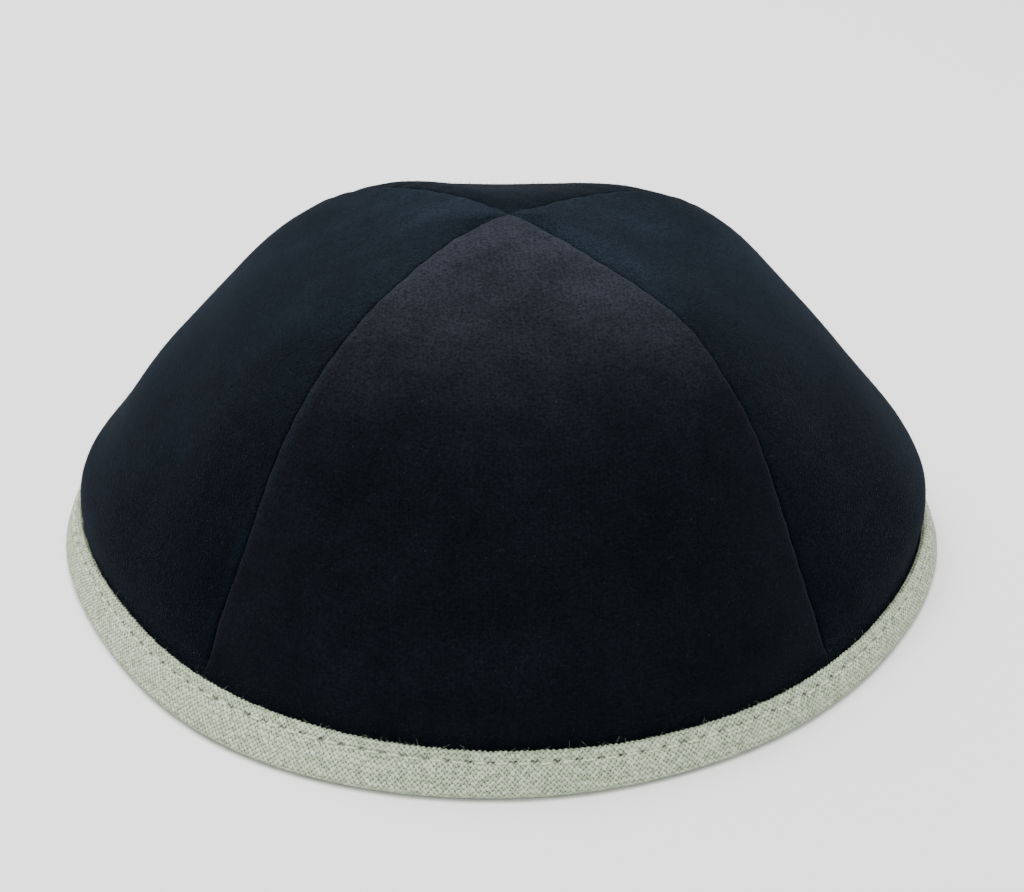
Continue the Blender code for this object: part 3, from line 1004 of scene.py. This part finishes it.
def plain_weave_group():
    """A plain weave turned 45 degrees on the cloth's own lengths: height and thread tone."""
    group, entry, leave = new_group(
        "plain_weave",
        (("Lengths", "NodeSocketVector"), ("Thread Pitch", "NodeSocketFloat")),
        (("Height", "NodeSocketFloat"), ("Tone", "NodeSocketFloat")),
    )

    def maths(operation, first, second=None, third=None):
        """A Math node of this group."""
        return math_node(group, operation, first, second, third)

    pitch = entry.outputs["Thread Pitch"]
    threads = node(group, "ShaderNodeVectorMath", operation="SCALE")
    group.links.new(entry.outputs["Lengths"], threads.inputs[0])
    group.links.new(maths("DIVIDE", 1.0, pitch), threads.inputs["Scale"])
    shaken = threads.outputs[0]
    for scale, amount in WEAVE_WANDERS:
        wander = node(group, "ShaderNodeTexNoise")
        wander.inputs["Scale"].default_value = scale
        group.links.new(threads.outputs[0], wander.inputs["Vector"])
        moved = node(group, "ShaderNodeVectorMath", operation="SUBTRACT")
        group.links.new(wander.outputs["Color"], moved.inputs[0])
        moved.inputs[1].default_value = (0.5, 0.5, 0.5)
        added = node(group, "ShaderNodeVectorMath", operation="MULTIPLY_ADD")
        group.links.new(moved.outputs[0], added.inputs[0])
        added.inputs[1].default_value = (amount, amount, 0.0)
        group.links.new(shaken, added.inputs[2])
        shaken = added.outputs[0]
    parts = node(group, "ShaderNodeSeparateXYZ")
    group.links.new(shaken, parts.inputs[0])
    root = 1 / sqrt(2)
    warp = maths("MULTIPLY", maths("ADD", parts.outputs["X"], parts.outputs["Y"]), root)
    weft = maths("MULTIPLY", maths("SUBTRACT", parts.outputs["X"], parts.outputs["Y"]), root)
    warp_index = maths("FLOOR", warp)
    weft_index = maths("FLOOR", weft)
    from_warp = maths("SUBTRACT", maths("FRACT", warp), 0.5)
    from_weft = maths("SUBTRACT", maths("FRACT", weft), 0.5)
    over = maths("PINGPONG", maths("ADD", warp_index, weft_index), 1.0)
    sign = maths("MULTIPLY_ADD", over, 2.0, -1.0)

    def thread_tone(index, along, seed):
        """A tone of its own for each thread, which drifts along it."""
        spot = node(group, "ShaderNodeCombineXYZ")
        group.links.new(maths("MULTIPLY_ADD", index, 7.31, seed), spot.inputs["X"])
        group.links.new(maths("MULTIPLY", along, SLUB_RATE), spot.inputs["Y"])
        slubs = node(group, "ShaderNodeTexNoise", noise_dimensions="2D")
        group.links.new(spot.outputs[0], slubs.inputs["Vector"])
        slubs.inputs["Scale"].default_value = 1.0
        slubs.inputs["Detail"].default_value = 2.0
        return remap(group, slubs.outputs["Fac"], 0.25, 0.75)

    def thread_height(aside, along, turn, slub):
        """Height of a thread, thicker at its slubs, that passes over and under the others."""
        half = remap(group, slub, 0.15, 0.85, *WEAVE_HALF)
        body = maths("POWER", maths("DIVIDE", aside, half), 2.0)
        body = maths("SQRT", maths("MAXIMUM", maths("SUBTRACT", 1.0, body), 0.0))
        arch = maths("MULTIPLY", maths("COSINE", maths("MULTIPLY", along, pi)), turn)
        return maths("MULTIPLY_ADD", arch, WEAVE_CRIMP, maths("MULTIPLY", body, 1 - WEAVE_CRIMP))

    warp_slub = thread_tone(warp_index, weft, 3.3)
    weft_slub = thread_tone(weft_index, warp, 71.7)
    warp_height = thread_height(from_warp, from_weft, sign, warp_slub)
    weft_height = thread_height(from_weft, from_warp, maths("MULTIPLY", sign, -1.0), weft_slub)
    height = maths("MAXIMUM", warp_height, weft_height)
    group.links.new(height, leave.inputs["Height"])
    on_warp = maths("GREATER_THAN", warp_height, weft_height)
    warp_tone = maths("MULTIPLY", on_warp, warp_slub)
    weft_tone = maths("MULTIPLY", maths("SUBTRACT", 1.0, on_warp), weft_slub)
    group.links.new(maths("ADD", warp_tone, weft_tone), leave.inputs["Tone"])
    return group


def fibre_grain_group():
    """Fine fibrous grain of a cloth's surface: height and tone."""
    group, entry, leave = new_group(
        "fibre_grain",
        (("Place", "NodeSocketVector"), ("Fineness", "NodeSocketFloat")),
        (("Height", "NodeSocketFloat"), ("Tone", "NodeSocketFloat")),
    )
    fine = node(group, "ShaderNodeTexNoise")
    coarse = node(group, "ShaderNodeTexNoise")
    for made, share, detail in ((fine, 1.0, 3.0), (coarse, 0.22, 2.0)):
        group.links.new(entry.outputs["Place"], made.inputs["Vector"])
        scale = math_node(group, "MULTIPLY", entry.outputs["Fineness"], share)
        group.links.new(scale, made.inputs["Scale"])
        made.inputs["Detail"].default_value = detail
    group.links.new(fine.outputs["Fac"], leave.inputs["Height"])
    both = blend(group, coarse.outputs["Fac"], fine.outputs["Fac"], 0.5)
    group.links.new(both, leave.inputs["Tone"])
    return group


def pile_group():
    """Velvet's pile: tufts in faint rows, each with a tone of its own, painted glints where single
    tufts catch the light, and loose hairs.
    """
    group, entry, leave = new_group(
        "velvet_pile",
        (("Place", "NodeSocketVector"), ("Lengths", "NodeSocketVector"),
         ("Tuft Size", "NodeSocketFloat"), ("Row Pitch", "NodeSocketFloat")),
        (("Height", "NodeSocketFloat"), ("Tone", "NodeSocketFloat"),
         ("Specks", "NodeSocketFloat"), ("Hairs", "NodeSocketFloat")),
    )
    place = entry.outputs["Place"]
    fineness = math_node(group, "DIVIDE", 1.0, entry.outputs["Tuft Size"])
    tufts = node(group, "ShaderNodeTexVoronoi")
    group.links.new(place, tufts.inputs["Vector"])
    group.links.new(fineness, tufts.inputs["Scale"])
    own = node(group, "ShaderNodeSeparateColor")
    group.links.new(tufts.outputs["Color"], own.inputs[0])
    strands = node(group, "ShaderNodeTexNoise")
    group.links.new(place, strands.inputs["Vector"])
    group.links.new(math_node(group, "MULTIPLY", fineness, 0.8), strands.inputs["Scale"])
    strands.inputs["Detail"].default_value = 2.0
    spread = remap(group, strands.outputs["Fac"], 0.30, 0.70)
    tone = math_node(group, "MULTIPLY_ADD", own.outputs[0], 0.40,
                     math_node(group, "MULTIPLY", spread, 0.45))
    bent = node(group, "ShaderNodeVectorMath", operation="MULTIPLY_ADD")
    group.links.new(strands.outputs["Color"], bent.inputs[0])
    bent.inputs[1].default_value = (0.5 * PILE_ROW, 0.5 * PILE_ROW, 0)
    group.links.new(entry.outputs["Lengths"], bent.inputs[2])
    ways = node(group, "ShaderNodeSeparateXYZ")
    group.links.new(bent.outputs[0], ways.inputs[0])
    turns = math_node(group, "DIVIDE", 2 * pi, entry.outputs["Row Pitch"])
    weft = math_node(group, "SINE", math_node(group, "MULTIPLY", ways.outputs["X"], turns))
    warp = math_node(group, "SINE", math_node(group, "MULTIPLY", ways.outputs["Y"], turns))
    rows = math_node(group, "MULTIPLY_ADD", math_node(group, "ADD", weft, warp), 0.25, 0.5)
    tone = math_node(group, "MULTIPLY_ADD", rows, 0.15, tone)
    group.links.new(tone, leave.inputs["Tone"])
    loose = node(group, "ShaderNodeTexNoise")
    group.links.new(place, loose.inputs["Vector"])
    group.links.new(math_node(group, "MULTIPLY", fineness, 0.16), loose.inputs["Scale"])
    loose.inputs["Detail"].default_value = 1.0
    line = math_node(group, "ABSOLUTE", math_node(group, "SUBTRACT", loose.outputs["Fac"], 0.5))
    line = remap(group, line, 0.0, 0.014, 1.0, 0.0)
    broken = node(group, "ShaderNodeTexNoise")
    group.links.new(place, broken.inputs["Vector"])
    group.links.new(math_node(group, "MULTIPLY", fineness, 0.22), broken.inputs["Scale"])
    line = math_node(group, "MULTIPLY", line, remap(group, broken.outputs["Fac"], 0.52, 0.66))
    group.links.new(line, leave.inputs["Hairs"])
    domes = remap(group, tufts.outputs["Distance"], 0.0, 0.8, 1.0, 0.0)
    group.links.new(math_node(group, "MULTIPLY", domes, own.outputs[1]), leave.inputs["Height"])
    # painted glints: rare single tufts painted light where they catch the light
    glint_cells = node(group, "ShaderNodeTexVoronoi")
    group.links.new(place, glint_cells.inputs["Vector"])
    group.links.new(math_node(group, "MULTIPLY", fineness, 0.20), glint_cells.inputs["Scale"])
    near = remap(group, glint_cells.outputs["Distance"], 0.03, 0.11, 1.0, 0.0)
    rare = node(group, "ShaderNodeSeparateColor")
    group.links.new(glint_cells.outputs["Color"], rare.inputs[0])
    kept = remap(group, rare.outputs[2], 0.45, 0.95)
    group.links.new(math_node(group, "MULTIPLY", near, kept), leave.inputs["Specks"])
    return group


def new_material(name):
    """A new material, its node tree and its shader."""
    material = bpy.data.materials.new(name)
    material.use_nodes = True
    tree = material.node_tree
    return material, tree, tree.nodes["Principled BSDF"]


def placed(tree, group):
    """A node group placed in a material."""
    made = node(tree, "ShaderNodeGroup")
    made.node_tree = group
    return made


def bump(tree, height, distance, strength=1.0, under=None):
    """A Bump node on a height; returns its normal."""
    made = node(tree, "ShaderNodeBump")
    made.inputs["Distance"].default_value = distance
    made.inputs["Strength"].default_value = strength
    tree.links.new(height, made.inputs["Height"])
    if under is not None:
        tree.links.new(under, made.inputs["Normal"])
    return made.outputs["Normal"]


def velvet_material(name, pile_effect, velvet):
    """Short dark pile: nearly black seen head on, and greyer at grazing angles."""
    material, tree, shader = new_material(name)
    coords = node(tree, "ShaderNodeTexCoord")
    place = coords.outputs["Object"]
    pile = placed(tree, pile_effect)
    pile.inputs["Tuft Size"].default_value = TUFT_SIZE
    pile.inputs["Row Pitch"].default_value = PILE_ROW
    tree.links.new(place, pile.inputs["Place"])
    tree.links.new(coords.outputs["UV"], pile.inputs["Lengths"])
    brushed = noise_value(tree, place, BRUSHED, 3.0, 0.55)
    ruffled = noise_value(tree, place, RUFFLED, 3.0, 0.6)
    patches = blend(tree, remap(tree, brushed, *PATCH_RANGE),
                    remap(tree, ruffled, *PATCH_RANGE), 0.6)
    nap = mix_colour(tree, patches, velvet.deep, velvet.lit)
    height = node(tree, "ShaderNodeSeparateXYZ")
    tree.links.new(place, height.inputs[0])
    # Painted light: the nap is painted paler towards the top, where the overhead light falls
    crown_light_rise = remap(tree, height.outputs["Z"], velvet.crown_start * CROWN_HEIGHT,
                   CROWN_LIGHT_FULL * CROWN_HEIGHT)
    crown_light_rise = math_node(tree, "POWER", crown_light_rise, CROWN_LIGHT_CURVE)
    crown_light_share = math_node(tree, "MULTIPLY", crown_light_rise, remap(tree, patches, 0.0, 1.0, CROWN_LIGHT_LEAST, 1.0))
    nap = mix_colour(tree, crown_light_share, nap, velvet.crown)
    grain = remap(tree, pile.outputs["Tone"], 0.15, 0.85, *TUFT_TONES)
    # the nap attribute's painted light and shade scales the velvet's colour
    painted_light_tone = node(tree, "ShaderNodeAttribute", attribute_name="nap")
    grain = math_node(tree, "MULTIPLY", grain, painted_light_tone.outputs["Fac"])
    scaled = node(tree, "ShaderNodeVectorMath", operation="SCALE")
    tree.links.new(nap, scaled.inputs[0])
    tree.links.new(grain, scaled.inputs["Scale"])
    colour = scaled.outputs[0]
    # painted glints of single tufts, and lint hairs, in the same light colour
    for output, show in (("Specks", GLINT_SHOW), ("Hairs", LINT_SHOW)):
        share = math_node(tree, "MULTIPLY", pile.outputs[output], show)
        colour = mix_colour(tree, share, colour, velvet.speck)
    tree.links.new(colour, shader.inputs["Base Color"])
    normal = bump(tree, pile.outputs["Height"], velvet.fluff, PILE_BUMP)
    leaning = node(tree, "ShaderNodeVectorMath", operation="ADD")
    tree.links.new(normal, leaning.inputs[0])
    leaning.inputs[1].default_value = (0, 0, NAP_LEAN)
    upright = node(tree, "ShaderNodeVectorMath", operation="NORMALIZE")
    tree.links.new(leaning.outputs[0], upright.inputs[0])
    tree.links.new(upright.outputs[0], shader.inputs["Normal"])
    shader.inputs["Roughness"].default_value = 1.0
    shader.inputs["Specular IOR Level"].default_value = 0.05
    shader.inputs["Sheen Weight"].default_value = velvet.sheen
    shader.inputs["Sheen Roughness"].default_value = SHEEN_ROUGHNESS
    shader.inputs["Sheen Tint"].default_value = (*velvet.sheen_tint, 1.0)
    return material


def underside_material(name, weave, grain):
    """The velvet's plain woven back, inside the cap."""
    material, tree, shader = new_material(name)
    coords = node(tree, "ShaderNodeTexCoord")
    cloth = placed(tree, weave)
    cloth.inputs["Thread Pitch"].default_value = UNDERSIDE_PITCH
    tree.links.new(coords.outputs["UV"], cloth.inputs["Lengths"])
    fuzz = placed(tree, grain)
    fuzz.inputs["Fineness"].default_value = UNDERSIDE_GRAIN
    tree.links.new(coords.outputs["Object"], fuzz.inputs["Place"])
    # painted shade in the weave's hollows, mixed with the grain's own tone
    tone = blend(tree, cloth.outputs["Height"], fuzz.outputs["Tone"], 0.6)
    colour = mix_colour(tree, tone, UNDERSIDE_DARK, UNDERSIDE_LIGHT)
    tree.links.new(colour, shader.inputs["Base Color"])
    normal = bump(tree, cloth.outputs["Height"], UNDERSIDE_BUMP)
    tree.links.new(normal, shader.inputs["Normal"])
    shader.inputs["Roughness"].default_value = 0.88
    shader.inputs["Specular IOR Level"].default_value = 0.25
    return material


def linen_material(name, weave, grain):
    """Sage linen, its threads at 45 degrees to the rim, with painted shade between its threads and
    in the needle's holes.
    """
    material, tree, shader = new_material(name)
    coords = node(tree, "ShaderNodeTexCoord")
    lengths = coords.outputs["UV"]
    cloth = placed(tree, weave)
    cloth.inputs["Thread Pitch"].default_value = THREAD_PITCH
    tree.links.new(lengths, cloth.inputs["Lengths"])
    fuzz = placed(tree, grain)
    fuzz.inputs["Fineness"].default_value = LINEN_GRAIN
    tree.links.new(coords.outputs["Object"], fuzz.inputs["Place"])
    shade = blend(tree, cloth.outputs["Tone"], fuzz.outputs["Tone"], 0.55)
    colour = mix_colour(tree, remap(tree, shade, *LINEN_SHADES), LINEN_DARK, LINEN_LIGHT)
    # painted shade where the weave is low, between the threads
    gap_shade = remap(tree, cloth.outputs["Height"], *LINEN_VALLEY)
    colour = mix_colour(tree, gap_shade, LINEN_GAP_SHADE, colour)
    cloudy = noise_value(tree, coords.outputs["Object"], LINEN_CLOUDS, 2.0)
    cloudy = remap(tree, cloudy, 0.35, 0.65, 0.0, LINEN_CLOUD_SHOW)
    colour = mix_colour(tree, cloudy, colour, LINEN_DARK)
    # painted shade in the needle's holes between the stitches
    parts = node(tree, "ShaderNodeSeparateXYZ")
    tree.links.new(lengths, parts.inputs[0])
    count = math_node(tree, "DIVIDE", parts.outputs["X"], STITCH_PITCH)
    aside = math_node(tree, "MULTIPLY", math_node(tree, "PINGPONG", count, 0.5), STITCH_PITCH)
    aside = math_node(tree, "DIVIDE", aside, 0.5 * STITCH_HOLE[0])
    stitch_line = STITCH_DROP + (0.5 * pi - 0.5) * BINDING_WALL - 0.3 * STITCH_HOLE[1]
    below = math_node(tree, "SUBTRACT", parts.outputs["Y"], stitch_line)
    below = math_node(tree, "DIVIDE", below, 0.5 * STITCH_HOLE[1])
    away = math_node(tree, "ADD", math_node(tree, "POWER", aside, 2.0),
                     math_node(tree, "POWER", below, 2.0))
    hole = remap(tree, away, 0.3, 1.6, 1.0, 0.0)
    shown = math_node(tree, "MULTIPLY", hole, STITCH_HOLE_SHADE)
    colour = mix_colour(tree, shown, colour, LINEN_HOLE_SHADE)
    tree.links.new(colour, shader.inputs["Base Color"])
    dip = bump(tree, math_node(tree, "SUBTRACT", 1.0, hole), STITCH_HOLE_DEPTH)
    woven = bump(tree, cloth.outputs["Height"], WEAVE_BUMP, 1.0, dip)
    normal = bump(tree, fuzz.outputs["Height"], FUZZ_BUMP, 0.8, woven)
    tree.links.new(normal, shader.inputs["Normal"])
    shader.inputs["Roughness"].default_value = 0.85
    shader.inputs["Specular IOR Level"].default_value = 0.2
    shader.inputs["Sheen Weight"].default_value = 0.06
    shader.inputs["Sheen Roughness"].default_value = 0.5
    return material


def fibre_material(name, grain):
    """Pale single fibres."""
    material, tree, shader = new_material(name)
    fuzz = placed(tree, grain)
    fuzz.inputs["Fineness"].default_value = FIBRE_GRAIN
    place = node(tree, "ShaderNodeTexCoord").outputs["Object"]
    tree.links.new(place, fuzz.inputs["Place"])
    colour = mix_colour(tree, fuzz.outputs["Tone"], LINEN_DARK, THREAD_LIGHT)
    tree.links.new(colour, shader.inputs["Base Color"])
    shader.inputs["Roughness"].default_value = 0.7
    return material


def thread_material(name, grain):
    """Pale sewing thread, with its twist."""
    material, tree, shader = new_material(name)
    coords = node(tree, "ShaderNodeTexCoord")
    twist = node(tree, "ShaderNodeTexWave", wave_type="BANDS", bands_direction="DIAGONAL")
    tree.links.new(coords.outputs["UV"], twist.inputs["Vector"])
    twist.inputs["Scale"].default_value = THREAD_TWISTS
    fuzz = placed(tree, grain)
    fuzz.inputs["Fineness"].default_value = THREAD_GRAIN
    tree.links.new(coords.outputs["Object"], fuzz.inputs["Place"])
    # the twist's grooves are painted darker, as shade, mixed with the grain's own tone
    tone = blend(tree, twist.outputs["Fac"], fuzz.outputs["Tone"], 0.5)
    colour = mix_colour(tree, remap(tree, tone, 0.15, 0.75), THREAD_DARK, THREAD_LIGHT)
    tree.links.new(colour, shader.inputs["Base Color"])
    tree.links.new(bump(tree, twist.outputs["Fac"], FUZZ_BUMP), shader.inputs["Normal"])
    shader.inputs["Roughness"].default_value = 0.65
    return material


def hair_material(name, grain):
    """Single hairs of the pile, some of them greyer, made lighter or darker by each panel's
    painted light.
    """
    material, tree, shader = new_material(name)
    tones = placed(tree, grain)
    tones.inputs["Fineness"].default_value = HAIR_GRAIN
    place = node(tree, "ShaderNodeTexCoord").outputs["Object"]
    tree.links.new(place, tones.inputs["Place"])
    grey = remap(tree, tones.outputs["Tone"], *HAIR_TONE_RANGE)
    colour = mix_colour(tree, grey, HAIR_DARK, HAIR_LIGHT)
    painted_light_and_hem_tone = node(tree, "ShaderNodeAttribute", attribute_name="nap")
    toned = node(tree, "ShaderNodeVectorMath", operation="SCALE")
    tree.links.new(colour, toned.inputs[0])
    tree.links.new(painted_light_and_hem_tone.outputs["Fac"], toned.inputs["Scale"])
    tree.links.new(toned.outputs[0], shader.inputs["Base Color"])
    shader.inputs["Roughness"].default_value = 0.8
    shader.inputs["Specular IOR Level"].default_value = 0.1
    shader.inputs["Sheen Weight"].default_value = 0.05
    return material


def floor_material():
    """The plain pale ground."""
    material, _, shader = new_material("pale_ground")
    shader.inputs["Base Color"].default_value = (*FLOOR_TONE, 1.0)
    shader.inputs["Roughness"].default_value = 0.9
    shader.inputs["Specular IOR Level"].default_value = 0.1
    return material


def build_floor():
    """A wide pale floor under the rim."""
    form = bmesh.new()
    bmesh.ops.create_grid(form, x_segments=1, y_segments=1, size=FLOOR_HALF)
    mesh = bpy.data.meshes.new("pale_floor")
    form.to_mesh(mesh)
    form.free()
    mesh.materials.append(floor_material())
    ground = bpy.data.objects.new("pale_floor", mesh)
    bpy.context.scene.collection.objects.link(ground)


def soft_light(name, place, size, power):
    """A square soft box that faces the cap."""
    data = bpy.data.lights.new(name, "AREA")
    data.shape = "SQUARE"
    data.size = size
    data.energy = power
    lamp = bpy.data.objects.new(name, data)
    lamp.location = place
    aim = Vector((0, 0, 0.03)) - Vector(place)
    lamp.rotation_euler = aim.to_track_quat("-Z", "Y").to_euler()
    bpy.context.scene.collection.objects.link(lamp)


def build_light():
    """Bright surroundings with a large soft light overhead."""
    world = bpy.data.worlds.new("pale_studio")
    world.use_nodes = True
    back = world.node_tree.nodes["Background"]
    back.inputs["Color"].default_value = (1.0, 1.0, 1.0, 1.0)
    back.inputs["Strength"].default_value = STUDIO_STRENGTH
    bpy.context.scene.world = world
    soft_light("overhead_light", OVERHEAD_PLACE, OVERHEAD_SIZE, OVERHEAD_POWER)


def build_camera():
    """The camera at the photograph's angle."""
    data = bpy.data.cameras.new("photo_view")
    data.lens = CAMERA_LENS
    data.clip_start = 0.01
    camera = bpy.data.objects.new("photo_view", data)
    look = (CAMERA_AIM - CAMERA_PLACE).to_track_quat("-Z", "Y").to_matrix().to_4x4()
    camera.matrix_world = (Matrix.Translation(CAMERA_PLACE) @ look
                           @ Matrix.Rotation(radians(CAMERA_ROLL), 4, "Z"))
    bpy.context.scene.collection.objects.link(camera)
    bpy.context.scene.camera = camera


def build_cap():
    """Every piece of the cap with its cloth."""
    weave = plain_weave_group()
    grain = fibre_grain_group()
    underside = underside_material("velvet_back", weave, grain)
    pile_effect = pile_group()
    front_pile = velvet_material("velvet_pile_front", pile_effect, FRONT_VELVET)
    side_pile = velvet_material("velvet_pile_side", pile_effect, SIDE_VELVET)
    back_pile = velvet_material("velvet_pile_back", pile_effect, BACK_VELVET)
    piles = {"panel_front": front_pile, "panel_back": back_pile}
    panels = [
        velvet_panel(wedge, wedge.name.replace("panel", "velvet"),
                     piles.get(wedge.name, side_pile), underside)
        for wedge in wedges()
    ]
    loose_pile("loose_pile", panels, hair_material("pile_hair", grain))
    linen = linen_material("bias_linen", weave, grain)
    thread = thread_material("sewing_thread", grain)
    linen_binding("bias_binding", linen)
    stitch_row("topstitches_outside", thread, True)
    stitch_row("topstitches_inside", thread, False)
    stray_fibres("stray_fibres", fibre_material("linen_fibre", grain))


build_cap()
build_floor()
build_light()
build_camera()
